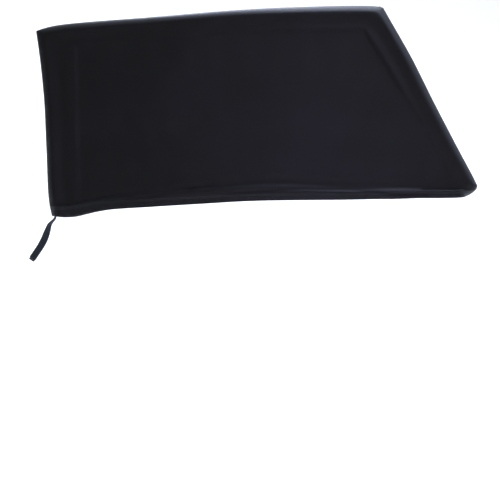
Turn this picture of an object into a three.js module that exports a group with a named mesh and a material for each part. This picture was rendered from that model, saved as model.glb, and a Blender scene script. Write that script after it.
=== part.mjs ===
// Slip-on mesh sunshade, an open-bottomed bag of stretch cloth, in the shape it has when pulled on.
// Millimetres. X runs from the front edge to the rear edge, -Y is the cabin side and +Z is up.
// The origin lies in the mouth of the bag, on the plane of the edge seam.
import * as THREE from 'three';

// Cloth, seam and hem
const WALL = 1.0; // the mesh with its knitted loops
const SEWN_GAP = 0.3; // left between pieces that are sewn against each other
const SEAM_THICK = 2.0; // both seam allowances, one on the other
const SEAM_DEPTH = 6.0; // how far the allowances reach into the bag
const SEAM_PROUD = 1.0; // how far the overlocked edge stands out of the cloth
const HEM = 20; // height of the folded hem
const ELASTIC_WIDE = 12;
const ELASTIC_THICK = 1.0;
const ELASTIC_SHORT = { front: 2, rear: 5 }; // grid columns from its ends to the edge seam
const CHANNEL = ELASTIC_THICK + 1.2; // clear width inside the fold
const FOLD_RADIUS = WALL + CHANNEL / 2;
const HEM_TURN_UP = HEM - 3; // height of the turned-up leg

// Depth of each side, measured from the seam's plane
const RIM_DEPTH = 19;
const CABIN = { side: -1, shoulder: 37, bulge: 42, hem: 41, mouth: 38, lift: 0 };
const STREET = { side: 1, shoulder: 25, bulge: 28, hem: 25, mouth: 21, lift: 6 };
const ROLL = 20; // width over which the cloth rolls round the edge at the rim
const ROLL_GAIN = 0.3; // how much wider the roll gets for each millimetre of depth
const RIDGE = { at: 17, high: 2.2, wide: 8 };
const GROOVE = { at: 42, high: -1.6, wide: 10 };
const CREASE = { high: -1.6, wide: 8 }; // along the line where the cloth meets the shoulder
const SHOULDER = { front: 25, middle: 40, rear: 27 }; // height of its line above the mouth
const SHOULDER_RISE = [0.08, 0.36]; // shares of the way to the rear between which it rises
const SHOULDER_FALL = [0.45, 0.88];
const LIFT_POWER = 6; // how fast the lift of a mouth's middle dies out with height

// Grid of each side
const COLUMNS = 36;
const UPPER_ROWS = 15;
const SHOULDER_ROWS = 3;
const HEM_ROWS = 2;
const FOLD_ROWS = 4;
const SEAM_STATIONS = { front: 14, top: 26, rear: 34 };
const EDGE_PIECES = 90; // straight pieces that stand for an edge when distances are measured
const CORNER_SHARPNESS = 4; // the higher, the less a corner between two edges is rounded off

// Strap of self-gripping tape at the lower front corner
const STRAP_WIDE = 15;
const STRAP_THICK = 1.4;
const STRAP_BENDS = [ // from the lower front corner, first up inside the mouth and then down
  [4.4, 19], [6.8, 5], [5.5, -6], [-5.5, -19], [-11.8, -36.5],
  [-18.6, -54], [-27, -69.2], [-35.5, -81.9], [-44.1, -94.6],
];
const STRAP_STATIONS = 26;
const TWIST_FROM = 0.1;
const TWIST_TO = 0.8;
const HOOK_LONG = 32;
const HOOK_WIDE = 13;
const HOOK_THICK = 1.6;
const HOOK_PAST_END = 5;

// Main sizes of the pulled-on shade in front view
const MOUTH_LONG = 905;
const MOUTH_RISE = 41; // the mouth's rear end lies higher than its front end
const FRONT_HIGH = 405;
const FRONT_LEAN = 35; // the top front corner lies ahead of the lower one
const REAR_HIGH = 409.6;
const REAR_LEAN = 175; // the top rear corner lies ahead of the lower one

const LOW_FRONT = [-MOUTH_LONG / 2, -MOUTH_RISE / 2];
const LOW_REAR = [MOUTH_LONG / 2, MOUTH_RISE / 2];
const TOP_FRONT = [LOW_FRONT[0] - FRONT_LEAN, LOW_FRONT[1] + FRONT_HIGH];
const TOP_REAR = [LOW_REAR[0] - REAR_LEAN, LOW_REAR[1] + REAR_HIGH];

// Each edge bows out from the straight line between its corners. Its points are given as
// [share of the way, bow], both as shares of that line's length
const FRONT_EDGE = edgeBetween(LOW_FRONT, TOP_FRONT, 1, [
  [0.085, 0.0087], [0.355, -0.0011], [0.626, -0.0109], [0.844, -0.008],
]);
const TOP_EDGE = edgeBetween(TOP_FRONT, TOP_REAR, 1, [
  [0.025, 0.0068], [0.068, 0.0133], [0.327, 0.0203], [0.615, 0.0261], [0.903, 0.0181],
  [0.977, 0.0121], [0.993, 0.0078],
]);
const REAR_EDGE = edgeBetween(LOW_REAR, TOP_REAR, -1, [
  [0.003, 0.0426], [0.018, 0.0759], [0.052, 0.0773], [0.224, 0.0636], [0.501, 0.0434],
  [0.722, 0.031], [0.947, 0.006],
]);
const MOUTH_EDGE = edgeBetween(LOW_FRONT, LOW_REAR, 1, [
  [0.021, -0.0036], [0.052, -0.0043], [0.076, -0.0007], [0.105, 0.004], [0.138, 0.0072],
  [0.244, 0.0094], [0.363, 0.0112], [0.481, 0.0125], [0.6, 0.0093], [0.718, 0.005],
  [0.838, 0.0029], [0.939, 0.0005],
]);

function edgeBetween(start, end, outward, bows) {
  const along = [end[0] - start[0], end[1] - start[1]];
  const aside = [-along[1] * outward, along[0] * outward];
  const middle = bows.map(([share, bow]) => [
    start[0] + along[0] * share + aside[0] * bow,
    start[1] + along[1] * share + aside[1] * bow,
  ]);
  return curveThrough([start, ...middle, end]);
}

function curveThrough(points) {
  const curve = new THREE.CatmullRomCurve3(points.map(([x, z]) => new THREE.Vector3(x, 0, z)));
  curve.curveType = 'centripetal';
  curve.arcLengthDivisions = 600;
  return curve;
}

// Distance from a point to one edge, and to all three with the corners rounded off
const EDGE_LINES = [FRONT_EDGE, TOP_EDGE, REAR_EDGE].map((curve) => curve.getSpacedPoints(EDGE_PIECES));

function distanceToLine(point, line) {
  let nearest = Infinity;
  const foot = new THREE.Vector3();
  for (let i = 1; i < line.length; i += 1) {
    const piece = new THREE.Line3(line[i - 1], line[i]);
    piece.closestPointToPoint(point, true, foot);
    nearest = Math.min(nearest, foot.distanceTo(point));
  }
  return nearest;
}

function distanceToSeam(point) {
  const distances = EDGE_LINES.map((line) => distanceToLine(point, line));
  if (Math.min(...distances) < 1e-4) return 0;
  const sum = distances.reduce((total, distance) => total + distance ** -CORNER_SHARPNESS, 0);
  return sum ** (-1 / CORNER_SHARPNESS);
}

// Point of the outline's patch: across is 0 at the front edge and 1 at the rear edge,
// up is 0 at the mouth and 1 at the top edge
function outlinePoint(across, up) {
  const front = FRONT_EDGE.getPointAt(up);
  const rear = REAR_EDGE.getPointAt(up);
  const mouth = MOUTH_EDGE.getPointAt(across);
  const top = TOP_EDGE.getPointAt(across);
  const corner = (curve, end, share) => curve.getPointAt(end).multiplyScalar(share);
  return front.multiplyScalar(1 - across)
    .add(rear.multiplyScalar(across))
    .add(mouth.multiplyScalar(1 - up))
    .add(top.multiplyScalar(up))
    .sub(corner(FRONT_EDGE, 0, (1 - across) * (1 - up)))
    .sub(corner(REAR_EDGE, 0, across * (1 - up)))
    .sub(corner(FRONT_EDGE, 1, (1 - across) * up))
    .sub(corner(REAR_EDGE, 1, across * up));
}

// Height of the outline at one column, and of the line where the cloth meets the shoulder
function columnHeight(across) {
  return outlinePoint(across, 1).distanceTo(outlinePoint(across, 0));
}

function shoulderHeight(across) {
  const rise = THREE.MathUtils.smoothstep(across, ...SHOULDER_RISE);
  const fall = THREE.MathUtils.smoothstep(across, ...SHOULDER_FALL);
  return SHOULDER.front + (SHOULDER.middle - SHOULDER.front) * rise
    - (SHOULDER.middle - SHOULDER.rear) * fall;
}

function bump(distance, { high, wide }) {
  return high * Math.exp(-((distance / wide) ** 2));
}

// Depth of a side at a height above the mouth, away from the edges
function openDepth(shape, above, height, shoulder) {
  if (above >= shoulder) {
    const share = (above - shoulder) / (height - shoulder);
    return THREE.MathUtils.lerp(shape.shoulder, RIM_DEPTH, share);
  }
  if (above <= HEM) return THREE.MathUtils.lerp(shape.mouth, shape.hem, above / HEM);
  const share = (above - HEM) / (shoulder - HEM);
  const line = THREE.MathUtils.lerp(shape.hem, shape.shoulder, share);
  const middle = (shape.hem + shape.shoulder) / 2;
  return line + Math.sin(Math.PI * share) * (shape.bulge - middle);
}

// Point on the outside of a side, at a height in millimetres above the mouth
function clothPoint(shape, across, above) {
  const height = columnHeight(across);
  const point = outlinePoint(across, Math.min(above / height, 1));
  const shoulder = shoulderHeight(across);
  const full = openDepth(shape, above, height, shoulder);
  const distance = distanceToSeam(point);
  const width = ROLL + ROLL_GAIN * (full - RIM_DEPTH);
  const rolled = Math.sqrt(1 - (1 - Math.min(distance / width, 1)) ** 2);
  const relief = bump(distance - RIDGE.at, RIDGE) + bump(distance - GROOVE.at, GROOVE)
    + bump(above - shoulder, CREASE);
  const start = SEAM_THICK / 2 + SEWN_GAP;
  point.y = shape.side * (start + (full - start + relief) * rolled);
  const towardMouth = (1 - above / height) ** LIFT_POWER;
  point.z += shape.lift * 4 * across * (1 - across) * towardMouth;
  return point;
}

function columnShares() {
  const shares = [];
  for (let i = 0; i <= COLUMNS; i += 1) {
    shares.push((1 - Math.cos((Math.PI * i) / COLUMNS)) / 2);
  }
  return shares;
}

// The flat band of the hem at every column, with its direction away from the hollow of the bag
function hemBand(shape) {
  const rows = columnShares().map((across) => [0, HEM / 2, HEM].map(
    (above) => clothPoint(shape, across, above),
  ));
  return rows.map(([low, middle, high], i) => {
    const outward = gridNormal(rows, i, 1).multiplyScalar(-shape.side);
    if (i === 0 || i === COLUMNS) outward.setY(0).normalize();
    return { low, middle, high, outward };
  });
}

function bandPoint({ low, middle, high, outward }, above, sunk) {
  const share = above / (HEM / 2);
  const point = share < 1 ? low.clone().lerp(middle, share) : middle.clone().lerp(high, share - 1);
  return point.addScaledVector(outward, -sunk);
}

// One column of a side: down the turned-up leg, round the fold, and up to the top edge
function columnOfCloth(shape, across, band) {
  const height = columnHeight(across);
  const shoulder = shoulderHeight(across);
  const points = [];
  for (const above of [HEM_TURN_UP, HEM / 2]) {
    points.push(bandPoint(band, above, 2 * FOLD_RADIUS));
  }
  for (let i = 0; i < FOLD_ROWS; i += 1) {
    points.push(bendPoint(band, Math.PI * (1 - i / FOLD_ROWS)));
  }
  for (let i = 0; i < HEM_ROWS; i += 1) {
    points.push(clothPoint(shape, across, (HEM * i) / HEM_ROWS));
  }
  for (let i = 0; i < SHOULDER_ROWS; i += 1) {
    points.push(clothPoint(shape, across, HEM + ((shoulder - HEM) * i) / SHOULDER_ROWS));
  }
  for (let i = 0; i <= UPPER_ROWS; i += 1) {
    const share = Math.sin((Math.PI * i) / (2 * UPPER_ROWS));
    points.push(clothPoint(shape, across, shoulder + (height - shoulder) * share));
  }
  return points;
}

function bendPoint(band, turn) {
  const point = bandPoint(band, 0, FOLD_RADIUS * (1 - Math.cos(turn)));
  point.z -= FOLD_RADIUS * Math.sin(turn);
  return point;
}

// Closed solid from a grid of outside points: the wall goes inward along the grid's own normals,
// and square to the seam's plane along the edges that are sewn into the seam
function solidFromGrid(grid, wall, flip, isSewn) {
  const columns = grid.length;
  const rows = grid[0].length;
  const positions = [];
  for (const column of grid) column.forEach((point) => positions.push(...point.toArray()));
  for (let i = 0; i < columns; i += 1) {
    for (let j = 0; j < rows; j += 1) {
      const normal = gridNormal(grid, i, j);
      const atEdge = i === 0 || i === columns - 1 || j === rows - 1;
      if (isSewn && atEdge) normal.setY(0).normalize();
      const inward = normal.multiplyScalar(flip ? wall : -wall);
      positions.push(...grid[i][j].clone().add(inward).toArray());
    }
  }
  const outer = (i, j) => i * rows + j;
  const inner = (i, j) => columns * rows + i * rows + j;
  const faces = [];
  const quad = (a, b, c, d) => {
    if (flip) faces.push(a, c, b, a, d, c);
    else faces.push(a, b, c, a, c, d);
  };
  for (let i = 1; i < columns; i += 1) {
    for (let j = 1; j < rows; j += 1) {
      quad(outer(i - 1, j - 1), outer(i, j - 1), outer(i, j), outer(i - 1, j));
      quad(inner(i - 1, j - 1), inner(i - 1, j), inner(i, j), inner(i, j - 1));
    }
  }
  for (let i = 1; i < columns; i += 1) {
    const last = rows - 1;
    quad(outer(i - 1, 0), inner(i - 1, 0), inner(i, 0), outer(i, 0));
    quad(outer(i, last), inner(i, last), inner(i - 1, last), outer(i - 1, last));
  }
  for (let j = 1; j < rows; j += 1) {
    const last = columns - 1;
    quad(outer(0, j), inner(0, j), inner(0, j - 1), outer(0, j - 1));
    quad(outer(last, j - 1), inner(last, j - 1), inner(last, j), outer(last, j));
  }
  return geometryFrom(positions, faces);
}

function gridNormal(grid, i, j) {
  const before = grid[Math.max(i - 1, 0)][j];
  const after = grid[Math.min(i + 1, grid.length - 1)][j];
  const below = grid[i][Math.max(j - 1, 0)];
  const above = grid[i][Math.min(j + 1, grid[0].length - 1)];
  return after.clone().sub(before).cross(above.clone().sub(below)).normalize();
}

function geometryFrom(positions, faces) {
  const geometry = new THREE.BufferGeometry();
  geometry.setAttribute('position', new THREE.Float32BufferAttribute(positions, 3));
  geometry.setIndex(faces);
  geometry.computeVertexNormals();
  return geometry;
}

// Solid swept through rings of points, closed at both ends
function solidFromRings(rings) {
  const count = rings[0].length;
  const positions = rings.flat().flatMap((point) => point.toArray());
  const faces = [];
  for (let i = 1; i < rings.length; i += 1) {
    for (let j = 0; j < count; j += 1) {
      const a = (i - 1) * count + j;
      const b = (i - 1) * count + ((j + 1) % count);
      faces.push(a, b, b + count, a, b + count, a + count);
    }
  }
  const end = (rings.length - 1) * count;
  for (let j = 2; j < count; j += 1) {
    faces.push(0, j, j - 1);
    faces.push(end, end + j - 1, end + j);
  }
  return geometryFrom(positions, faces);
}

function panel(shape) {
  const bands = hemBand(shape);
  const grid = columnShares().map((across, i) => columnOfCloth(shape, across, bands[i]));
  return solidFromGrid(grid, WALL, shape.side > 0, true);
}

// Flat elastic that lies in the channel of the hem
function hemElastic(shape) {
  const low = (HEM_TURN_UP - ELASTIC_WIDE) / 2;
  const sunk = WALL + (CHANNEL - ELASTIC_THICK) / 2;
  const bands = hemBand(shape).slice(ELASTIC_SHORT.front, -ELASTIC_SHORT.rear);
  const grid = bands.map((band) => [
    bandPoint(band, low, sunk),
    bandPoint(band, HEM / 2, sunk),
    bandPoint(band, low + ELASTIC_WIDE, sunk),
  ]);
  return solidFromGrid(grid, ELASTIC_THICK, shape.side > 0, false);
}

// Overlocked allowances that run up the front edge, along the top and down the rear edge
function edgeSeam() {
  const path = [
    ...FRONT_EDGE.getSpacedPoints(SEAM_STATIONS.front),
    ...TOP_EDGE.getSpacedPoints(SEAM_STATIONS.top).slice(1),
    ...REAR_EDGE.getSpacedPoints(SEAM_STATIONS.rear).reverse().slice(1),
  ];
  return solidFromRings(path.map((point, i) => seamRing(path, i)));
}

function seamRing(path, i) {
  const before = path[Math.max(i - 1, 0)];
  const after = path[Math.min(i + 1, path.length - 1)];
  const into = path[i].clone().sub(before);
  const out = after.clone().sub(path[i]);
  if (into.lengthSq() === 0) into.copy(out);
  if (out.lengthSq() === 0) out.copy(into);
  const first = new THREE.Vector3(into.z, 0, -into.x).normalize();
  const second = new THREE.Vector3(out.z, 0, -out.x).normalize();
  const inward = first.clone().add(second).normalize();
  const mitre = 1 / Math.max(inward.dot(first), 0.6);
  const half = SEAM_THICK / 2;
  const section = [
    [SEAM_DEPTH, half], [0, half], [-SEAM_PROUD * 0.7, half * 0.7], [-SEAM_PROUD, 0],
    [-SEAM_PROUD * 0.7, -half * 0.7], [0, -half], [SEAM_DEPTH, -half],
  ];
  return section.map(([depth, y]) => {
    const point = path[i].clone().addScaledVector(inward, depth * mitre);
    point.y = y;
    return point;
  });
}

function strapPath() {
  return STRAP_BENDS.map(([x, z]) => [LOW_FRONT[0] + x, LOW_FRONT[1] + z]);
}

function strap() {
  const path = curveThrough(strapPath());
  const rings = [];
  for (let i = 0; i <= STRAP_STATIONS; i += 1) rings.push(strapRing(path, i / STRAP_STATIONS));
  return solidFromRings(rings);
}

// The tape stands across the seam at its root and turns to face the cabin lower down
function strapRing(path, share) {
  const centre = path.getPointAt(share);
  const along = path.getTangentAt(share);
  const depth = new THREE.Vector3(0, 1, 0);
  const level = new THREE.Vector3().crossVectors(along, depth).normalize();
  const turn = (Math.PI / 2) * (1 - THREE.MathUtils.smoothstep(share, TWIST_FROM, TWIST_TO));
  const wide = level.clone().multiplyScalar(Math.cos(turn))
    .addScaledVector(depth, Math.sin(turn));
  const thick = new THREE.Vector3().crossVectors(along, wide);
  const halfWide = STRAP_WIDE / 2;
  const halfThick = STRAP_THICK / 2;
  const section = [[-1, -1], [1, -1], [1, 1], [-1, 1]];
  return section.map(([a, b]) => centre.clone()
    .addScaledVector(wide, a * halfWide)
    .addScaledVector(thick, b * halfThick));
}

function hookPatch() {
  return new THREE.BoxGeometry(HOOK_LONG, HOOK_THICK, HOOK_WIDE);
}

// The patch lies on the back of the strap's straight end and reaches a little past it
function placeHookPatch(mesh) {
  const [before, end] = strapPath().slice(-2).map(([x, z]) => new THREE.Vector3(x, 0, z));
  const along = end.clone().sub(before).normalize();
  mesh.position.copy(end).addScaledVector(along, HOOK_PAST_END - HOOK_LONG / 2);
  mesh.position.y = STRAP_THICK / 2 + SEWN_GAP + HOOK_THICK / 2;
  mesh.rotation.y = Math.atan2(-along.z, along.x);
}

function material(color, roughness) {
  return new THREE.MeshStandardMaterial({ color, roughness, metalness: 0 });
}

const group = new THREE.Group();

function addMesh(name, geometry, color, roughness) {
  const mesh = new THREE.Mesh(geometry, material(color, roughness));
  mesh.name = name;
  group.add(mesh);
  return mesh;
}

addMesh('inner_panel', panel(CABIN), '#1d1b20', 0.62);
addMesh('outer_panel', panel(STREET), '#1d1b20', 0.62);
addMesh('edge_seam', edgeSeam(), '#2c2e34', 0.7);
addMesh('inner_hem_elastic', hemElastic(CABIN), '#17171a', 0.8);
addMesh('outer_hem_elastic', hemElastic(STREET), '#17171a', 0.8);
addMesh('strap', strap(), '#262a37', 0.75);
placeHookPatch(addMesh('hook_patch', hookPatch(), '#2e2a33', 0.9));

export default group;
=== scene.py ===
import math
import bpy
import numpy as np
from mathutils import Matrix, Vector


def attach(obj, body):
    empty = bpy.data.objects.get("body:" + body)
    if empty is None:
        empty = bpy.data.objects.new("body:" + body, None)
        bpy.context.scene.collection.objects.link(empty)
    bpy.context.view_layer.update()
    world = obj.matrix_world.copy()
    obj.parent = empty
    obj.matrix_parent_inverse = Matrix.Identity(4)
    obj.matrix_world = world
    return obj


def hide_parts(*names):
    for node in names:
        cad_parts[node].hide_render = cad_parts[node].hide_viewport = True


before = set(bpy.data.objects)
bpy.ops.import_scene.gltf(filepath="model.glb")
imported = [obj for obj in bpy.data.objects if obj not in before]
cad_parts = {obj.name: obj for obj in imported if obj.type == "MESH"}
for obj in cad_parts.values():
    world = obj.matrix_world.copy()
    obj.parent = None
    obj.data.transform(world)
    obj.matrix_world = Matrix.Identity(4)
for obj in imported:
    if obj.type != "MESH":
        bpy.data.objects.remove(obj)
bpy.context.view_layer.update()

# The camera stands on the cabin side at the height where the picture's middle is, and looks level
# along +Y. One pixel is 2.2 mm on the plane of the edge seam, from 1.8 m away.
PIXEL = 0.0022
PICTURE_WIDE = 500
CAMERA_AWAY = 1.8
CAMERA_X, CAMERA_Z = -0.0179, -0.0965
SENSOR = 36.0
camera_data = bpy.data.cameras.new("camera")
camera_data.sensor_width = SENSOR
camera_data.lens = SENSOR * CAMERA_AWAY / (PICTURE_WIDE * PIXEL)
camera = bpy.data.objects.new("camera", camera_data)
camera.location = (CAMERA_X, -CAMERA_AWAY, CAMERA_Z)
camera.rotation_euler = (math.radians(90), 0, 0)
bpy.context.scene.collection.objects.link(camera)
bpy.context.scene.camera = camera
bpy.context.scene.view_settings.view_transform = "Standard"

# The backdrop is one sheet of white painted board. It lies as a floor in front of the shade, bends
# up behind it in a wide curve and goes on as a wall. The paint is matt and gives an even ground.
FIRST_COLOUR, SECOND_COLOUR, MIXED = 6, 7, 2  # sockets of a Mix node that mixes colours


def linear(code):
    """sRGB hex, such as "#1d1b20", to the linear colour that Blender's sockets take."""
    channels = [int(code[i:i + 2], 16) / 255 for i in (1, 3, 5)]
    return (*[c / 12.92 if c <= 0.04045 else ((c + 0.055) / 1.055) ** 2.4 for c in channels], 1.0)


def add_node(tree, kind, settings=None, links=None):
    """Adds one node, sets its socket values and properties, and links sockets to other outputs."""
    node = tree.nodes.new(kind)
    for name, value in (settings or {}).items():
        if isinstance(name, int) or name in node.inputs:
            node.inputs[name].default_value = value
        else:
            setattr(node, name, value)
    for name, output in (links or {}).items():
        tree.links.new(output, node.inputs[name])
    return node


def new_material(name):
    """An empty node material, and the tree to build it in."""
    material = bpy.data.materials.new(name)
    material.use_nodes = True
    material.node_tree.nodes.clear()
    return material, material.node_tree


def make_mesh(name, points, faces, material):
    """A smooth-shaded mesh object in metres, with its edges over 50 degrees left crisp."""
    mesh = bpy.data.meshes.new(name)
    mesh.from_pydata([tuple(p) for p in np.asarray(points)], [], [tuple(map(int, f)) for f in faces])
    mesh.materials.append(material)
    mesh.shade_smooth()
    mesh.set_sharp_from_angle(angle=math.radians(50))
    piece = bpy.data.objects.new(name, mesh)
    bpy.context.scene.collection.objects.link(piece)
    return piece


board, tree = new_material("matt_white_board")
grain = add_node(tree, "ShaderNodeTexNoise", {"Scale": 3.0, "Detail": 2.0})
paint = add_node(
    tree, "ShaderNodeMix",
    {"data_type": "RGBA", FIRST_COLOUR: linear("#f4f4f4"), SECOND_COLOUR: linear("#f8f8f8")},
    {"Factor": grain.outputs["Fac"]})
board_shader = add_node(
    tree, "ShaderNodeBsdfPrincipled",
    {"Roughness": 0.9, "Specular IOR Level": 0.1, "Emission Color": linear("#ffffff"),
     "Emission Strength": 0.3},
    {"Base Color": paint.outputs[MIXED]})
add_node(tree, "ShaderNodeOutputMaterial", links={"Surface": board_shader.outputs["BSDF"]})

FLOOR_Z = -0.62
SWEEP_FRONT, SWEEP_BACK, SWEEP_RADIUS, SWEEP_TOP = -3.0, 1.6, 0.7, 3.2
SWEEP_HALF = 4.5
BEND_STEPS = 16
sweep_line = [(SWEEP_FRONT, FLOOR_Z)]
for i in range(BEND_STEPS + 1):
    turn = math.pi / 2 * i / BEND_STEPS
    sweep_line.append((SWEEP_BACK - SWEEP_RADIUS + SWEEP_RADIUS * math.sin(turn),
                       FLOOR_Z + SWEEP_RADIUS - SWEEP_RADIUS * math.cos(turn)))
sweep_line.append((SWEEP_BACK, SWEEP_TOP))
sweep_points = [(x, y, z) for y, z in sweep_line for x in (-SWEEP_HALF, SWEEP_HALF)]
sweep_faces = [(2 * i, 2 * i + 1, 2 * i + 3, 2 * i + 2) for i in range(len(sweep_line) - 1)]
make_mesh("pale_sweep", sweep_points, sweep_faces, board)

# Soft studio light: a wide lamp ahead on the right, cool strips above and beside the shade from
# behind, which light its rolled rim, a weak fill from below for the hem, and two washes that keep
# the sweep white. The room around is a plain pale grey.


def add_lamp(name, place, target, size, power, tint="#ffffff"):
    """A rectangular area lamp turned from its place to a target, in metres and watts."""
    data = bpy.data.lights.new(name, "AREA")
    data.shape = "RECTANGLE"
    data.size, data.size_y = size
    data.energy = power
    data.color = linear(tint)[:3]
    lamp = bpy.data.objects.new(name, data)
    lamp.location = place
    lamp.rotation_euler = (Vector(target) - Vector(place)).to_track_quat("-Z", "Y").to_euler()
    bpy.context.scene.collection.objects.link(lamp)


add_lamp("key_lamp", (0.7, -1.9, 0.9), (0.0, 0.0, 0.15), (1.6, 1.2), 3.6)
add_lamp("top_strip", (0.25, 0.24, 1.35), (0.05, 0.0, 0.38), (2.0, 0.12), 62, "#d9e4ff")
add_lamp("rear_strip", (1.3, 0.1, 0.6), (0.35, 0.0, 0.2), (0.12, 1.0), 3.5, "#d9e4ff")
add_lamp("low_fill", (0.1, -1.4, -0.5), (0.0, 0.0, 0.0), (0.9, 0.5), 0.8)
add_lamp("sweep_wash", (0.0, 0.8, 2.9), (0.0, 1.6, 0.2), (3.5, 0.8), 20)
add_lamp("floor_wash", (0.0, -1.6, 2.8), (0.0, -1.2, -0.6), (3.5, 1.5), 6)

world = bpy.data.worlds.new("soft_room")
world.use_nodes = True
world.node_tree.nodes["Background"].inputs["Color"].default_value = linear("#e6e9ee")
world.node_tree.nodes["Background"].inputs["Strength"].default_value = 0.4
bpy.context.scene.world = world

# The cabin-side panel is one cut of black warp-knit stretch mesh. It is pulled tight: it rolls round
# the front, top and rear edges, runs straight down from the rim, comes out over a soft shoulder and
# ends in a hem that is folded up inside. Its sizes are in millimetres up to its mesh.
WALL = 0.5
CAD_WALL = 1.0
SEAM_HALF = 1.3
HEM = 20.0
ELASTIC_THICK = 1.0
CHANNEL = ELASTIC_THICK + 1.2
FOLD_RADIUS = CAD_WALL + CHANNEL / 2
HEM_TURN_UP = HEM - 3
RIM_DEPTH = 19.0
ROLL = 20.0
ROLL_GAIN = 0.3
LIFT_POWER = 6
CABIN = {"side": -1, "shoulder": 37, "bulge": 42, "hem": 41, "mouth": 38, "lift": 0}

MOUTH_LONG, MOUTH_RISE = 905.0, 41.0
FRONT_HIGH, FRONT_LEAN = 405.0, 35.0
REAR_HIGH, REAR_LEAN = 409.6, 175.0
LOW_FRONT = np.array([-MOUTH_LONG / 2, -MOUTH_RISE / 2])
LOW_REAR = -LOW_FRONT
TOP_FRONT = LOW_FRONT + (-FRONT_LEAN, FRONT_HIGH)
TOP_REAR = LOW_REAR + (-REAR_LEAN, REAR_HIGH)


def smooth_line(points, steps=80):
    """Centripetal Catmull-Rom curve through points: its dense points and their running length."""
    p = np.asarray(points, float)
    p = np.vstack([2 * p[0] - p[1], p, 2 * p[-1] - p[-2]])
    dense = []
    for i in range(1, len(p) - 2):
        a, b, c = [np.linalg.norm(p[k + 1] - p[k]) ** 0.5 for k in (i - 1, i, i + 1)]
        leave = (p[i] - p[i - 1]) / a - (p[i + 1] - p[i - 1]) / (a + b) + (p[i + 1] - p[i]) / b
        arrive = (p[i + 1] - p[i]) / b - (p[i + 2] - p[i]) / (b + c) + (p[i + 2] - p[i + 1]) / c
        t = np.linspace(0, 1, steps, endpoint=False)[:, None]
        dense.append((2 * t**3 - 3 * t**2 + 1) * p[i] + (t**3 - 2 * t**2 + t) * leave * b
                     + (-2 * t**3 + 3 * t**2) * p[i + 1] + (t**3 - t**2) * arrive * b)
    dense = np.vstack([*dense, p[-2][None]])
    run = np.concatenate([[0], np.cumsum(np.linalg.norm(np.diff(dense, axis=0), axis=1))])
    return dense, run


def on_line(line, share):
    """Points of a smooth_line at shares of its length from 0 to 1."""
    dense, run = line
    at = np.clip(share, 0, 1) * run[-1]
    return np.stack([np.interp(at, run, dense[:, k]) for k in range(dense.shape[1])], -1)


def edge_between(start, end, outward, bows):
    """An edge that bows out from the straight line between its corners, by [share of way, bow]."""
    along = end - start
    aside = np.array([-along[1], along[0]]) * outward
    middle = [start + along * share + aside * bow for share, bow in bows]
    return smooth_line([start, *middle, end])


FRONT = edge_between(LOW_FRONT, TOP_FRONT, 1, [
    (0.085, 0.0087), (0.355, -0.0011), (0.626, -0.0109), (0.844, -0.008)])
TOP = edge_between(TOP_FRONT, TOP_REAR, 1, [
    (0.025, 0.0068), (0.068, 0.0133), (0.327, 0.0203), (0.615, 0.0261), (0.903, 0.0181),
    (0.977, 0.0121), (0.993, 0.0078)])
REAR = edge_between(LOW_REAR, TOP_REAR, -1, [
    (0.003, 0.0426), (0.018, 0.0759), (0.052, 0.0773), (0.224, 0.0636), (0.501, 0.0434),
    (0.722, 0.031), (0.947, 0.006)])
MOUTH = edge_between(LOW_FRONT, LOW_REAR, 1, [
    (0.021, -0.0036), (0.052, -0.0043), (0.076, -0.0007), (0.105, 0.004), (0.138, 0.0072),
    (0.244, 0.0094), (0.363, 0.0112), (0.481, 0.0125), (0.6, 0.0093), (0.718, 0.005),
    (0.838, 0.0029), (0.939, 0.0005)])

EDGE_PIECES = 90
CORNER_SHARPNESS = 4.0
TOUCHING, NEAREST = 1e-3, 1e-4


def distance_to(points, corners):
    """Distance of each [x, z] point to a line of straight pieces."""
    best = np.full(points.shape[:-1], np.inf)
    for a, b in zip(corners[:-1], corners[1:]):
        piece = b - a
        t = np.clip(((points - a) @ piece) / (piece @ piece), 0, 1)
        best = np.minimum(best, np.linalg.norm(points - (a + t[..., None] * piece), axis=-1))
    return best


def distance_to_seam(points):
    """Distance to the nearest sewn edge, with the corners between the edges rounded off."""
    steps = np.linspace(0, 1, EDGE_PIECES + 1)
    edges = np.stack([distance_to(points, on_line(line, steps)) for line in (FRONT, TOP, REAR)])
    rounded = (np.maximum(edges, NEAREST) ** -CORNER_SHARPNESS).sum(0) ** (-1 / CORNER_SHARPNESS)
    return np.where(edges.min(0) < TOUCHING, 0, rounded)


def outline_point(across, up):
    """[x, z] inside the outline: across from the front to the rear, up from the mouth to the top."""
    u, v = across[..., None], up[..., None]
    front, rear = on_line(FRONT, up), on_line(REAR, up)
    mouth, top = on_line(MOUTH, across), on_line(TOP, across)
    zero, one = np.zeros(1), np.ones(1)
    corners = ((1 - u) * (1 - v) * on_line(FRONT, zero) + u * (1 - v) * on_line(REAR, zero)
               + (1 - u) * v * on_line(FRONT, one) + u * v * on_line(REAR, one))
    return (1 - u) * front + u * rear + (1 - v) * mouth + v * top - corners


def smooth_step(x, low, high):
    """0 below low and 1 above high, with a soft rise between."""
    t = np.clip((x - low) / (high - low), 0, 1)
    return t * t * (3 - 2 * t)


def column_height(across):
    """Height of the cloth from the mouth to the top edge, at shares of the way to the rear."""
    low, high = (outline_point(across, np.full_like(across, v)) for v in (0.0, 1.0))
    return np.linalg.norm(high - low, axis=-1)


SHOULDER_FRONT, SHOULDER_MIDDLE, SHOULDER_REAR = 25, 40, 27
SHOULDER_RISE, SHOULDER_FALL = (0.08, 0.36), (0.45, 0.88)
BLEND_BELOW, BLEND_ABOVE = 6, 8


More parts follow.
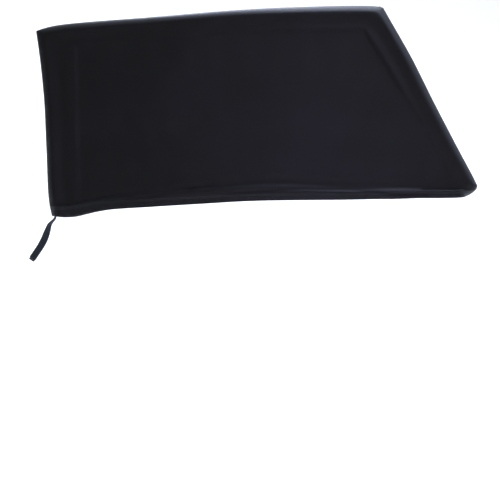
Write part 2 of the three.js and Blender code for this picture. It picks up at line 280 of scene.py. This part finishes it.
def shoulder_height(across):
    """Height of the shoulder's line above the mouth, highest a little ahead of the middle."""
    rise = (SHOULDER_MIDDLE - SHOULDER_FRONT) * smooth_step(across, *SHOULDER_RISE)
    fall = (SHOULDER_MIDDLE - SHOULDER_REAR) * smooth_step(across, *SHOULDER_FALL)
    return SHOULDER_FRONT + rise - fall


def open_depth(shape, above, height, shoulder):
    """Depth of the cloth away from the edges: straight down from the rim, then over the shoulder."""
    down = (above - shoulder) / (height - shoulder)
    upper = shape["shoulder"] + (RIM_DEPTH - shape["shoulder"]) * down
    hem = shape["mouth"] + (shape["hem"] - shape["mouth"]) * above / HEM
    share = np.clip((above - HEM) / (shoulder - HEM), 0, 1)
    line = shape["hem"] + (shape["shoulder"] - shape["hem"]) * share
    roll = line + np.sin(np.pi * share) * (shape["bulge"] - (shape["hem"] + shape["shoulder"]) / 2)
    lower = np.where(above <= HEM, hem, roll)
    return lower + (upper - lower) * smooth_step(above, shoulder - BLEND_BELOW, shoulder + BLEND_ABOVE)


# The cloth stands a little proud along a band inside the rim and lies back in its middle. These are
# the corners of that middle, [x, z], from the lower front corner upward and to the rear.
RECESS, RECESS_SLOPE = 2.6, 11
middle_corners = [(-392, 20), (-398, 180), (-402, 352), (-240, 373), (0, 386), (233, 389), (343, 208),
                  (437, 34)]


def middle_recess(flat):
    """How far the cloth lies back: 0 on the band along the rim and 1 well inside it."""
    edge = distance_to(flat, np.asarray(middle_corners, float))
    inside = np.ones(flat.shape[:-1], bool)
    for a, b in zip(middle_corners[:-1], middle_corners[1:]):
        side = (b[0] - a[0]) * (flat[..., 1] - a[1]) - (b[1] - a[1]) * (flat[..., 0] - a[0])
        inside &= side < 0
    return smooth_step(np.where(inside, edge, 0), 0, RECESS_SLOPE)


# Lines of tension in the cabin side, each [x, z] with how deep it lies and how wide it is
tension_lines = [
    ([(-376, 7), (-238, 19), (-106, 45), (58, 52), (223, 43), (440, 39)], -3.6, 4.5),
    ([(-122, 22), (-80, 28), (92, 35), (198, 32), (305, 25), (412, 27)], -3.2, 4.0),
    ([(-292, 14), (-152, 35), (18, 43.5), (218, 37), (398, 33)], 1.8, 5.0),
    ([(-440, 4), (-362, 8), (-238, 29), (-62, 62), (138, 70)], 0.8, 8.0),
]
TENSION_FADE = 120
RIM_FADE = 26
GATHER_HIGH, GATHER_REACH = 0.16, 24
UNEVEN_HIGH = 0.5


def bump(offset, high, wide):
    """A soft ridge along a line, or a groove where it is negative, at an offset from that line."""
    return high * np.exp(-((offset / wide) ** 2))


def cloth_relief(shape, flat, above, shoulder, distance):
    """Millimetres that the cloth stands out or in: rim ridge, groove inside it, folds and gathers."""
    relief = bump(distance - 17, 2.2, 8) + bump(distance - 42, -1.6, 10)
    relief = relief + bump(above - shoulder, -1.4, 7) - RECESS * middle_recess(flat)
    x, z = flat[..., 0], flat[..., 1]
    if shape["side"] < 0:
        for points, depth, wide in tension_lines:
            first, last = points[0][0], points[-1][0]
            fade = smooth_step(x, first, first + TENSION_FADE)
            fade = fade * (1 - smooth_step(x, last - TENSION_FADE, last))
            line = np.asarray(points, float)
            relief = relief + fade * bump(distance_to(flat, line), depth, wide)
    gather = np.sin(x / 2.3 + 1.7 * np.sin(x / 31)) + 0.6 * np.sin(x / 3.7 + 1.1)
    relief = relief + gather * bump(above, GATHER_HIGH, GATHER_REACH)
    relief = relief + UNEVEN_HIGH * np.sin(x / 61 + z / 45) * np.sin(z / 38 - x / 160 + 0.6)
    return relief * smooth_step(distance, 0, RIM_FADE)


def cloth_point(shape, across, above):
    """[x, y, z] on the outside of a side, at a height in millimetres above the mouth."""
    height = column_height(across)
    flat = outline_point(across, np.minimum(above / height, 1))
    shoulder = shoulder_height(across)
    full = open_depth(shape, above, height, shoulder)
    distance = distance_to_seam(flat)
    width = ROLL + ROLL_GAIN * (full - RIM_DEPTH)
    rolled = np.sqrt(1 - (1 - np.minimum(distance / width, 1)) ** 2)
    relief = cloth_relief(shape, flat, above, shoulder, distance)
    depth = SEAM_HALF + (full - SEAM_HALF + relief) * rolled
    lift = shape["lift"] * 4 * across * (1 - across) * (1 - above / height) ** LIFT_POWER
    return np.stack([flat[..., 0], shape["side"] * depth, flat[..., 1] + lift], -1)


def grid_normals(grid):
    """Unit normals of a grid of points, from its neighbours along both directions."""
    normal = np.cross(np.gradient(grid, axis=0), np.gradient(grid, axis=1))
    return normal / np.maximum(np.linalg.norm(normal, axis=-1, keepdims=True), 1e-12)


COLUMNS = 190
HEM_ROWS, SHOULDER_ROWS, UPPER_ROWS, FOLD_ROWS = 9, 9, 70, 9
LEG_HEIGHTS = (HEM_TURN_UP, 12, 7, 2)
column_shares = (1 - np.cos(np.pi * np.arange(COLUMNS + 1) / COLUMNS)) / 2


def hem_band(shape):
    """The flat band of the hem, from the mouth up, and its outward directions."""
    u, above = np.meshgrid(column_shares, np.linspace(0, HEM, HEM_ROWS), indexing="ij")
    band = cloth_point(shape, u, above)
    outward = grid_normals(band) * -shape["side"]
    outward[[0, -1], :, 1] = 0
    outward /= np.linalg.norm(outward, axis=-1, keepdims=True)
    return band, outward


def band_point(band, outward, above, sunk):
    """Points of the hem's band at one height, sunk below its outside."""
    at = above / HEM * (HEM_ROWS - 1)
    low = min(int(at), HEM_ROWS - 2)
    share = at - low
    point = band[:, low] * (1 - share) + band[:, low + 1] * share
    return point - outward[:, HEM_ROWS // 2] * sunk


def side_grid(shape):
    """Outside points of one side, from the turned-up leg's end round the fold to the top edge."""
    band, outward = hem_band(shape)
    leg = [band_point(band, outward, above, 2 * FOLD_RADIUS) for above in LEG_HEIGHTS]
    fold = []
    for turn in np.linspace(math.pi, 0, FOLD_ROWS)[:-1]:
        point = band_point(band, outward, 0, FOLD_RADIUS * (1 - math.cos(turn)))
        point[:, 2] -= FOLD_RADIUS * math.sin(turn)
        fold.append(point)
    height, shoulder = column_height(column_shares), shoulder_height(column_shares)
    above = [np.full_like(column_shares, h) for h in np.linspace(0, HEM, HEM_ROWS)[:-1]]
    above += [HEM + (shoulder - HEM) * s for s in np.linspace(0, 1, SHOULDER_ROWS)[:-1]]
    upper_shares = np.sin(np.pi / 2 * np.linspace(0, 1, UPPER_ROWS))
    above += [shoulder + (height - shoulder) * s for s in upper_shares]
    above = np.stack(above, 1)
    rest = cloth_point(shape, np.repeat(column_shares[:, None], above.shape[1], 1), above)
    return np.concatenate([np.stack(leg + fold, 1), rest], 1)


def shell(grid, wall, side):
    """Closed thin skin from outside points: the wall goes inward, square to the seam at its edges."""
    normal = grid_normals(grid)
    for edge in (normal[0], normal[-1], normal[:, -1]):
        edge[..., 1] = 0
    normal /= np.maximum(np.linalg.norm(normal, axis=-1, keepdims=True), 1e-12)
    inner = grid + normal * side * wall
    columns, rows = grid.shape[:2]
    points = np.concatenate([grid.reshape(-1, 3), inner.reshape(-1, 3)]) * 0.001
    front = np.arange(columns * rows).reshape(columns, rows)
    back = front + columns * rows
    a, b, c, d = front[:-1, :-1], front[1:, :-1], front[1:, 1:], front[:-1, 1:]
    quads = [np.stack([a, b, c, d], -1).reshape(-1, 4)]
    a, b, c, d = (k + columns * rows for k in (a, b, c, d))
    quads.append(np.stack([a, d, c, b], -1).reshape(-1, 4))
    for line, behind in ((front[:, 0], back[:, 0]), (front[::-1, -1], back[::-1, -1]),
                         (front[0, ::-1], back[0, ::-1]), (front[-1], back[-1])):
        quads.append(np.stack([line[:-1], behind[:-1], behind[1:], line[1:]], -1).reshape(-1, 4))
    faces = np.concatenate(quads)
    return points, faces if side < 0 else faces[:, ::-1]


# Warp-knit stretch mesh, polyester with elastane, dyed black: satin filament loops with small open
# holes. The eye sees a near-black skin with a faint violet tone, a soft sheen where it turns away,
# and a trace of what is behind. The colour varies in random clouds, and it is lighter and more violet
# towards a spot low in the middle: that is a painted pool of light, as if reflected up from below.
# Real wales are about 1.0 mm apart; they are drawn 1.5 mm to show.
WALE, COURSE = 0.0015, 0.0018
WAVE = 2 * math.pi / 20  # scale of a Wave texture whose bands are one metre apart
knit_mesh, tree = new_material("black_warp_knit_mesh")
place = add_node(tree, "ShaderNodeTexCoord").outputs["Object"]
wales = add_node(tree, "ShaderNodeTexWave",
                 {"wave_type": "BANDS", "bands_direction": "X", "Scale": WAVE / WALE,
                  "Distortion": 0.3, "Detail": 1.0, "Detail Scale": 4.0}, {"Vector": place})
courses = add_node(tree, "ShaderNodeTexWave",
                   {"wave_type": "BANDS", "bands_direction": "Z", "Scale": WAVE / COURSE,
                    "Distortion": 0.3, "Detail": 1.0, "Detail Scale": 4.0}, {"Vector": place})
holes = add_node(tree, "ShaderNodeMath", {"operation": "MULTIPLY"},
                 {0: wales.outputs["Fac"], 1: courses.outputs["Fac"]})
clouds = add_node(tree, "ShaderNodeTexNoise", {"Scale": 5.5, "Detail": 3.0, "Roughness": 0.55},
                  {"Vector": place})
# Painted light: the colour grows lighter towards a spot low in the middle of the cabin side, a painted
# pool of light as if reflected up from below.
painted_light_distance = add_node(tree, "ShaderNodeVectorMath",
                      {"operation": "DISTANCE", 1: (0.12, -0.04, 0.11)}, {0: place})
painted_light_share = add_node(tree, "ShaderNodeMapRange",
                        {"From Min": 0.02, "From Max": 0.42, "To Min": 1.0, "To Max": 0.0},
                        {"Value": painted_light_distance.outputs["Value"]})
cloud_share = add_node(tree, "ShaderNodeMapRange",
                       {"From Min": 0.35, "From Max": 0.68, "To Min": -0.25, "To Max": 0.3},
                       {"Value": clouds.outputs["Fac"]})
tone_and_painted_light_share = add_node(tree, "ShaderNodeMath", {"operation": "ADD", "use_clamp": True},
                      {0: painted_light_share.outputs["Result"], 1: cloud_share.outputs["Result"]})
# The dark tone is mixed with a lighter violet one, by random clouds of tone and by that painted pool
# of light.
dye_and_painted_light = add_node(
    tree, "ShaderNodeMix",
    {"data_type": "RGBA", FIRST_COLOUR: linear("#121115"), SECOND_COLOUR: linear("#1d1923")},
    {"Factor": tone_and_painted_light_share.outputs[0]})
loop_shade = add_node(
    tree, "ShaderNodeMix",
    {"data_type": "RGBA", "blend_type": "MULTIPLY", SECOND_COLOUR: linear("#8a8a8a")},
    {"Factor": holes.outputs[0], FIRST_COLOUR: dye_and_painted_light.outputs[MIXED]})
opening = add_node(tree, "ShaderNodeMapRange",
                   {"From Min": 0.35, "From Max": 1.0, "To Min": 0.985, "To Max": 0.62},
                   {"Value": holes.outputs[0]})
knit_bump = add_node(tree, "ShaderNodeBump", {"Strength": 0.35, "Distance": 0.0003, "invert": True},
                     {"Height": holes.outputs[0]})
knit_shader = add_node(
    tree, "ShaderNodeBsdfPrincipled",
    {"Roughness": 0.56, "IOR": 1.46, "Specular IOR Level": 0.2, "Sheen Weight": 0.08,
     "Sheen Roughness": 0.42, "Sheen Tint": linear("#aab2c2")},
    {"Base Color": loop_shade.outputs[MIXED], "Alpha": opening.outputs["Result"],
     "Normal": knit_bump.outputs["Normal"]})
add_node(tree, "ShaderNodeOutputMaterial", links={"Surface": knit_shader.outputs["BSDF"]})

cabin_cloth = make_mesh("cabin_side_cloth", *shell(side_grid(CABIN), WALL, CABIN["side"]), knit_mesh)
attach(cabin_cloth, "root")
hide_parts("inner_panel")

# The street-side panel is the same cut in mirror image, in the same mesh. It lies flatter, because
# nothing pushes its lower part out, and its mouth is lifted a little in the middle.
STREET = {"side": 1, "shoulder": 25, "bulge": 28, "hem": 25, "mouth": 21, "lift": 6}
street_cloth = make_mesh("street_side_cloth", *shell(side_grid(STREET), WALL, STREET["side"]),
                         knit_mesh)
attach(street_cloth, "root")
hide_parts("outer_panel")

# The edge seam joins both panels along the front, top and rear edges: two allowances, one on the
# other, trimmed and overlocked in one pass. Its edge stands a millimetre out of the cloth.
SEAM_DEPTH, SEAM_PROUD = 6.0, 1.0
SEAM_STEP = 3.0


def seam_path(spacing):
    """Even points along the sewn edges from the lower front corner, and the ways into the bag."""
    path = np.vstack([
        on_line(FRONT, np.linspace(0, 1, 400)),
        on_line(TOP, np.linspace(0, 1, 800))[1:],
        on_line(REAR, np.linspace(1, 0, 600))[1:],
    ])
    run = np.concatenate([[0], np.cumsum(np.linalg.norm(np.diff(path, axis=0), axis=1))])
    at = np.linspace(0, run[-1], int(run[-1] / spacing) + 1)
    points = np.stack([np.interp(at, run, path[:, k]) for k in (0, 1)], -1)
    along = np.gradient(points, axis=0)
    along /= np.linalg.norm(along, axis=1, keepdims=True)
    return points, np.stack([along[:, 1], -along[:, 0]], -1)


def swept(rings):
    """Closed solid through rings of points in millimetres: its points in metres and its faces."""
    count, ring = rings.shape[:2]
    index = np.arange(count * ring).reshape(count, ring)
    following = np.roll(index, -1, axis=1)
    faces = np.stack([index[:-1], following[:-1], following[1:], index[1:]], -1).reshape(-1, 4)
    return rings.reshape(-1, 3) * 0.001, [*faces, index[0, ::-1], index[-1]]


# Overlock thread and tape edge: spun polyester, dyed charcoal, matt. The eye sees a dry, slightly
# fuzzy line with the twist of its plies, a shade lighter than the cloth.
overlock, tree = new_material("charcoal_spun_polyester_thread")
place = add_node(tree, "ShaderNodeTexCoord").outputs["Object"]
twist = add_node(tree, "ShaderNodeTexNoise", {"Scale": 900.0, "Detail": 2.0}, {"Vector": place})
thread_tone = add_node(
    tree, "ShaderNodeMix",
    {"data_type": "RGBA", FIRST_COLOUR: linear("#22232a"), SECOND_COLOUR: linear("#3c3e47")},
    {"Factor": twist.outputs["Fac"]})
ply_bump = add_node(tree, "ShaderNodeBump", {"Strength": 0.3, "Distance": 0.0002},
                    {"Height": twist.outputs["Fac"]})
thread_shader = add_node(
    tree, "ShaderNodeBsdfPrincipled",
    {"Roughness": 0.72, "IOR": 1.5, "Specular IOR Level": 0.35, "Sheen Weight": 0.3,
     "Sheen Roughness": 0.4, "Sheen Tint": linear("#c2c8d4")},
    {"Base Color": thread_tone.outputs[MIXED], "Normal": ply_bump.outputs["Normal"]})
add_node(tree, "ShaderNodeOutputMaterial", links={"Surface": thread_shader.outputs["BSDF"]})

points, inward = seam_path(SEAM_STEP)
section = [(SEAM_DEPTH, 1.0), (3.0, 1.0), (0.0, 1.0), (-0.6, 0.8), (-0.95, 0.4), (-SEAM_PROUD, 0.0),
           (-0.95, -0.4), (-0.6, -0.8), (0.0, -1.0), (3.0, -1.0), (SEAM_DEPTH, -1.0)]
rings = []
for depth, y in section:
    x, z = (points + inward * depth).T
    rings.append(np.stack([x, np.full(len(points), y), z], -1))
allowance = make_mesh("seam_allowance", *swept(np.stack(rings, 1)), overlock)
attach(allowance, "root")
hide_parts("edge_seam")

# The overlock's looper thread wraps round the trimmed edge, one loop for each stitch of 3.4 mm. It
# is laid as one long coil of 0.6 mm thread, pulled tight against the allowances.
STITCH_PITCH = 3.4
THREAD_RADIUS = 0.3
LOOP_STEPS = 10
LOOP_MIDDLE, LOOP_DEEP, LOOP_HALF = 0.5, 1.75, 1.1


def tube(path, radius, sides=5):
    """Rings of a round thread along a path in millimetres."""
    along = np.gradient(path, axis=0)
    along /= np.linalg.norm(along, axis=1, keepdims=True)
    aside = np.cross(along, (0.02, 1.0, 0.05))
    aside /= np.linalg.norm(aside, axis=1, keepdims=True)
    across = np.cross(along, aside)
    turns = np.arange(sides) * 2 * math.pi / sides
    return np.stack([path + radius * (math.cos(t) * aside + math.sin(t) * across) for t in turns], 1)


points, inward = seam_path(STITCH_PITCH / LOOP_STEPS)
turn = np.arange(len(points)) * 2 * math.pi / LOOP_STEPS
x, z = (points + inward * (LOOP_MIDDLE - LOOP_DEEP * np.cos(turn))[:, None]).T
loops = np.stack([x, LOOP_HALF * np.sin(turn), z], -1)
overlock_loops = make_mesh("overlock_loops", *swept(tube(loops, THREAD_RADIUS)), overlock)
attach(overlock_loops, "root")

# Flat elastic in the channel of each hem: woven polyester over rubber cores, 12 mm wide. It draws
# the mouth in and is stitched into the fold just short of the side seams.
ELASTIC_WIDE = 12.0
ELASTIC_WALL = ELASTIC_THICK - 0.3
ELASTIC_ENDS = (2 / 36, 31 / 36)  # shares of the hem's columns
ELASTIC_ROWS = 25
CORES, CORE_HIGH = 6, 0.08

# Woven elastic, polyester over rubber, dyed black and matt: a dull band with fine cross picks, which
# lie 1.2 mm apart to show.
PICK = 0.0012
elastic_tape, tree = new_material("black_woven_elastic")
place = add_node(tree, "ShaderNodeTexCoord").outputs["Object"]
picks = add_node(tree, "ShaderNodeTexWave",
                 {"wave_type": "BANDS", "bands_direction": "X", "Scale": WAVE / PICK},
                 {"Vector": place})
pick_tone = add_node(
    tree, "ShaderNodeMix",
    {"data_type": "RGBA", FIRST_COLOUR: linear("#101012"), SECOND_COLOUR: linear("#1c1c20")},
    {"Factor": picks.outputs["Fac"]})
pick_bump = add_node(tree, "ShaderNodeBump", {"Strength": 0.4, "Distance": 0.0003},
                     {"Height": picks.outputs["Fac"]})
elastic_shader = add_node(
    tree, "ShaderNodeBsdfPrincipled", {"Roughness": 0.8, "IOR": 1.5, "Specular IOR Level": 0.3},
    {"Base Color": pick_tone.outputs[MIXED], "Normal": pick_bump.outputs["Normal"]})
add_node(tree, "ShaderNodeOutputMaterial", links={"Surface": elastic_shader.outputs["BSDF"]})

for shape, name, node in ((CABIN, "cabin_hem_elastic", "inner_hem_elastic"),
                          (STREET, "street_hem_elastic", "outer_hem_elastic")):
    band, outward = hem_band(shape)
    first, last = (int(COLUMNS * share) for share in ELASTIC_ENDS)
    low = (HEM_TURN_UP - ELASTIC_WIDE) / 2
    rows = []
    for share in np.linspace(0, 1, ELASTIC_ROWS):
        core = CORE_HIGH * (1 - math.cos(share * CORES * 2 * math.pi))
        sunk = CAD_WALL + (CHANNEL - ELASTIC_THICK) / 2 + core
        row = band_point(band, outward, low + ELASTIC_WIDE * share, sunk)
        rows.append(row[first:last + 1])
    elastic = make_mesh(name, *shell(np.stack(rows, 1), ELASTIC_WALL, shape["side"]), elastic_tape)
    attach(elastic, "root")
    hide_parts(node)

# Two rows of cover stitch hold each hem's fold, 3 mm a stitch, in the same charcoal thread. Each
# stitch is a small pillow of thread that lies on the cloth, just below the hem's upper edge.
STITCH_LONG = 3.0
ROWS_BELOW_EDGE = (5.6, 2.4)
PILLOW_PLACES = np.array([-0.5, -0.32, 0.0, 0.32, 0.5])
PILLOW_SWELL = np.array([0.25, 0.8, 1.0, 0.8, 0.25])
PILLOW_SIDES = 6


def stitches(centres, along, outward, long=2.3, wide=0.62, high=0.34):
    """Pillow-shaped stitches, closed lumps of thread on a surface: points in metres and faces."""
    aside = np.cross(along, outward)
    rings = []
    for place, swell in zip(PILLOW_PLACES, PILLOW_SWELL):
        ring = []
        for t in np.arange(PILLOW_SIDES) * 2 * math.pi / PILLOW_SIDES:
            ring.append(centres + along * long * place + aside * (wide / 2 * swell * math.cos(t))
                        + outward * (high * swell * math.sin(t)))
        rings.append(np.stack(ring, 1))
    rings = np.stack(rings, 1)
    count = PILLOW_SIDES * len(PILLOW_PLACES)
    one = [[int(k) for k in face] for face in swept(rings[0])[1]]
    faces = [[k + count * i for k in face] for i in range(len(centres)) for face in one]
    return rings.reshape(-1, 3) * 0.001, faces


def along_band(shape, above, spacing):
    """Even places along a hem at one height, with the directions along it and outward."""
    u = np.linspace(0.004, 0.996, 1500)
    line = cloth_point(shape, u, np.full_like(u, above))
    upper = cloth_point(shape, u, np.full_like(u, above + 0.5))
    run = np.concatenate([[0], np.cumsum(np.linalg.norm(np.diff(line, axis=0), axis=1))])
    at = np.arange(spacing / 2, run[-1], spacing)
    places, higher = (np.stack([np.interp(at, run, values[:, k]) for k in range(3)], -1)
                      for values in (line, upper))
    along = np.gradient(places, axis=0)
    along /= np.linalg.norm(along, axis=1, keepdims=True)
    outward = np.cross(along, higher - places) * -shape["side"]
    outward /= np.linalg.norm(outward, axis=1, keepdims=True)
    return places, along, outward


def add_part(points, faces, more_points, more_faces):
    """Adds one closed part to the lists of points and faces of a mesh."""
    start = sum(len(p) for p in points)
    faces += [[int(k) + start for k in face] for face in more_faces]
    points.append(more_points)


for shape, name in ((CABIN, "cabin_hem_stitches"), (STREET, "street_hem_stitches")):
    points, faces = [], []
    for below in ROWS_BELOW_EDGE:
        add_part(points, faces, *stitches(*along_band(shape, HEM - below, STITCH_LONG)))
    row = make_mesh(name, np.concatenate(points), faces, overlock)
    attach(row, "root")

# The strap is 15 mm self-gripping tape, sewn to the seam allowances inside the lower front corner.
# It leaves the mouth edge-on, turns to face the cabin as it drops, and ends cut square.
STRAP_WIDE, STRAP_THICK = 15.0, 1.4
STRAP_STEPS = 150
TWIST_FROM, TWIST_TO = 0.1, 0.8
RIBS, RIB_HIGH = 9, 0.13
FACE_POINTS = 46
strap_bends = [
    (4.4, 19), (6.8, 5), (5.5, -6), (-5.5, -19), (-11.8, -36.5),
    (-18.6, -54), (-27, -69.2), (-35.5, -81.9), (-44.1, -94.6),
]
shares = np.linspace(0, 1, STRAP_STEPS)
x, z = on_line(smooth_line([LOW_FRONT + bend for bend in strap_bends]), shares).T
centre = np.stack([x, np.zeros(STRAP_STEPS), z], -1)
along = np.gradient(centre, axis=0)
along /= np.linalg.norm(along, axis=1, keepdims=True)
level = np.cross(along, (0, 1, 0))
turn = math.pi / 2 * (1 - smooth_step(shares, TWIST_FROM, TWIST_TO))
wide = level * np.cos(turn)[:, None] + np.array([0, 1, 0]) * np.sin(turn)[:, None]
thick = np.cross(along, wide)
profile = []
for side in (-1, 1):
    for k in range(FACE_POINTS):
        w = (0.5 - k / (FACE_POINTS - 1)) * side
        rounded = math.sqrt(max(1 - (2 * abs(w)) ** 10, 0.05))
        rib = RIB_HIGH * (0.5 - 0.5 * math.cos(2 * math.pi * RIBS * (w + 0.5)))
        profile.append((w * STRAP_WIDE, side * (STRAP_THICK / 2 - RIB_HIGH + rib) * rounded))
strap_rings = np.stack([centre + wide * w + thick * t for w, t in profile], 1)

# Self-gripping tape, nylon, woven with lengthwise ribs and a short brushed pile, blue-black. The
# pile catches light as a soft bloom along the ribs. Its picks are drawn 1.4 mm apart to show.
TAPE_PICK = 0.0014
strap_tape, tree = new_material("blue_black_woven_nylon_tape")
place = add_node(tree, "ShaderNodeTexCoord").outputs["Object"]
pile = add_node(tree, "ShaderNodeTexNoise", {"Scale": 1400.0, "Detail": 3.0}, {"Vector": place})
picks = add_node(tree, "ShaderNodeTexWave",
                 {"wave_type": "BANDS", "bands_direction": "Z", "Scale": WAVE / TAPE_PICK,
                  "Distortion": 1.0, "Detail": 2.0}, {"Vector": place})
worn = add_node(tree, "ShaderNodeTexNoise", {"Scale": 90.0, "Detail": 2.0}, {"Vector": place})
tape_tone = add_node(
    tree, "ShaderNodeMix",
    {"data_type": "RGBA", FIRST_COLOUR: linear("#1a1d25"), SECOND_COLOUR: linear("#2b323c")},
    {"Factor": pile.outputs["Fac"]})
tape_worn = add_node(
    tree, "ShaderNodeMix",
    {"data_type": "RGBA", "blend_type": "MULTIPLY", SECOND_COLOUR: linear("#b4b4ba")},
    {"Factor": worn.outputs["Fac"], FIRST_COLOUR: tape_tone.outputs[MIXED]})
weave_height = add_node(tree, "ShaderNodeMath", {"operation": "ADD"},
                        {0: pile.outputs["Fac"], 1: picks.outputs["Fac"]})
weave_bump = add_node(tree, "ShaderNodeBump", {"Strength": 0.5, "Distance": 0.0004},
                      {"Height": weave_height.outputs[0]})
tape_shader = add_node(
    tree, "ShaderNodeBsdfPrincipled",
    {"Roughness": 0.78, "IOR": 1.53, "Specular IOR Level": 0.3, "Sheen Weight": 0.06,
     "Sheen Roughness": 0.5, "Sheen Tint": linear("#9fb0d0")},
    {"Base Color": tape_worn.outputs[MIXED], "Normal": weave_bump.outputs["Normal"]})
add_node(tree, "ShaderNodeOutputMaterial", links={"Surface": tape_shader.outputs["BSDF"]})

strap = make_mesh("ribbed_strap", *swept(strap_rings), strap_tape)
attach(strap, "root")
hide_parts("strap")

# A bar tack through both faces holds the strap's root to the seam allowances. A box of stitches
# near the strap's end holds the patch behind it. Both are in the charcoal thread.
TACK_SHARE, TACK_HALF, TACK_STITCHES = 0.085, 5.5, 12
BOX_NEAR, BOX_FAR, BOX_HALF = 3, 25, 5
BOX_PITCH = 2.4
sewing_points, sewing_faces = [], []


def add_stitch(spot, direction, outward, **sizes):
    """Puts one stitch into the strap's sewing."""
    one = [np.asarray([value], float) for value in (spot, direction, outward)]
    add_part(sewing_points, sewing_faces, *stitches(*one, **sizes))


root = int(TACK_SHARE * (STRAP_STEPS - 1))
for k in np.linspace(-TACK_HALF, TACK_HALF, TACK_STITCHES):
    for face in (-1, 1):
        add_stitch(centre[root] + wide[root] * k + thick[root] * face * STRAP_THICK / 2,
                   along[root], thick[root] * face, long=4.0, wide=0.8)
tail, tail_along, tail_wide = centre[-1], along[-1], wide[-1]
tail_face = thick[-1] * (-1 if thick[-1][1] > 0 else 1)
box = [(-BOX_NEAR, -BOX_HALF), (-BOX_NEAR, BOX_HALF), (-BOX_FAR, BOX_HALF), (-BOX_FAR, -BOX_HALF)]
for a, b in zip(box, box[1:] + box[:1]):
    run = tail_along * (b[0] - a[0]) + tail_wide * (b[1] - a[1])
    count = int(math.dist(a, b) / BOX_PITCH)
    for k in range(count):
        spot = tail + tail_along * a[0] + tail_wide * a[1] + run * (k + 0.5) / count
        add_stitch(spot + tail_face * (STRAP_THICK / 2 - 0.05), run / np.linalg.norm(run), tail_face,
                   long=1.9, wide=0.6, high=0.22)
strap_sewing = make_mesh("strap_sewing", np.concatenate(sewing_points), sewing_faces, overlock)
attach(strap_sewing, "root")

# The hook patch is moulded nylon hook tape behind the strap's end: a thin woven ground with rows of
# short stiff hooks. It reaches 5 mm past the strap and is a shade lighter and browner.
HOOK_LONG, HOOK_WIDE, HOOK_PAST_END, HOOK_GAP = 32.0, 13.0, 5.0, 0.3
GROUND = 0.7
GROUND_STEPS, GROUND_TAPER_FROM, GROUND_TAPER = 33, 0.47, 0.12
HOOKS_ALONG, HOOKS_ACROSS = 30, 12
HOOK_STEP_ALONG, HOOK_STEP_ACROSS = 1.03, 1.02
HOOK_SIDES, HOOK_LEAN = 6, 0.1
HOOK_LEVELS = ((0.0, 0.24), (0.5, 0.17), (0.72, 0.3), (0.95, 0.28), (1.0, 0.12))
GROUND_SECTION = ((-1, 0), (-0.96, -1), (-0.5, -1), (0, -1), (0.5, -1), (0.96, -1),
                  (1, 0), (0.96, 1), (0.5, 1), (0, 1), (-0.5, 1), (-0.96, 1))

# Moulded nylon hook tape, dark grey-brown: a dry, slightly glittering ground, because each hook's
# round head catches its own point of light.
hook_tape, tree = new_material("moulded_nylon_hook_tape")
place = add_node(tree, "ShaderNodeTexCoord").outputs["Object"]
speckle = add_node(tree, "ShaderNodeTexNoise", {"Scale": 700.0, "Detail": 2.0}, {"Vector": place})
hook_tone = add_node(
    tree, "ShaderNodeMix",
    {"data_type": "RGBA", FIRST_COLOUR: linear("#2b262e"), SECOND_COLOUR: linear("#4a444f")},
    {"Factor": speckle.outputs["Fac"]})
hook_bump = add_node(tree, "ShaderNodeBump", {"Strength": 0.3, "Distance": 0.0003},
                     {"Height": speckle.outputs["Fac"]})
hook_shader = add_node(
    tree, "ShaderNodeBsdfPrincipled", {"Roughness": 0.6, "IOR": 1.53, "Specular IOR Level": 0.4},
    {"Base Color": hook_tone.outputs[MIXED], "Normal": hook_bump.outputs["Normal"]})
add_node(tree, "ShaderNodeOutputMaterial", links={"Surface": hook_shader.outputs["BSDF"]})

back = np.array([0.0, 1.0, 0.0])
patch_centre = tail + tail_along * (HOOK_PAST_END - HOOK_LONG / 2)
ground_front = patch_centre + back * (STRAP_THICK / 2 + HOOK_GAP)
ground_rings = []
for step in np.linspace(-0.5, 0.5, GROUND_STEPS):
    taper = max(abs(step) - GROUND_TAPER_FROM, 0) / (0.5 - GROUND_TAPER_FROM) * GROUND_TAPER
    ground_rings.append([
        ground_front + tail_along * HOOK_LONG * step + tail_wide * (HOOK_WIDE / 2 * a * (1 - taper))
        + back * (GROUND / 2 * (1 + b)) for a, b in GROUND_SECTION])
patch_points, patch_faces = [], []
add_part(patch_points, patch_faces, *swept(np.asarray(ground_rings)))
hook_turns = np.arange(HOOK_SIDES) * 2 * math.pi / HOOK_SIDES
for i in range(HOOKS_ALONG):
    for j in range(HOOKS_ACROSS):
        base = (ground_front + tail_along * (i - (HOOKS_ALONG - 1) / 2) * HOOK_STEP_ALONG
                + tail_wide * (j - (HOOKS_ACROSS - 1) / 2) * HOOK_STEP_ACROSS
                + back * (GROUND - 0.1))
        rings = [[base + back * high + tail_along * (r * math.cos(t) + HOOK_LEAN * high)
                  + tail_wide * r * math.sin(t) for t in hook_turns] for high, r in HOOK_LEVELS]
        add_part(patch_points, patch_faces, *swept(np.asarray(rings)))
hook_patch = make_mesh("hook_tape_patch", np.concatenate(patch_points), patch_faces, hook_tape)
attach(hook_patch, "root")
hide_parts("hook_patch")
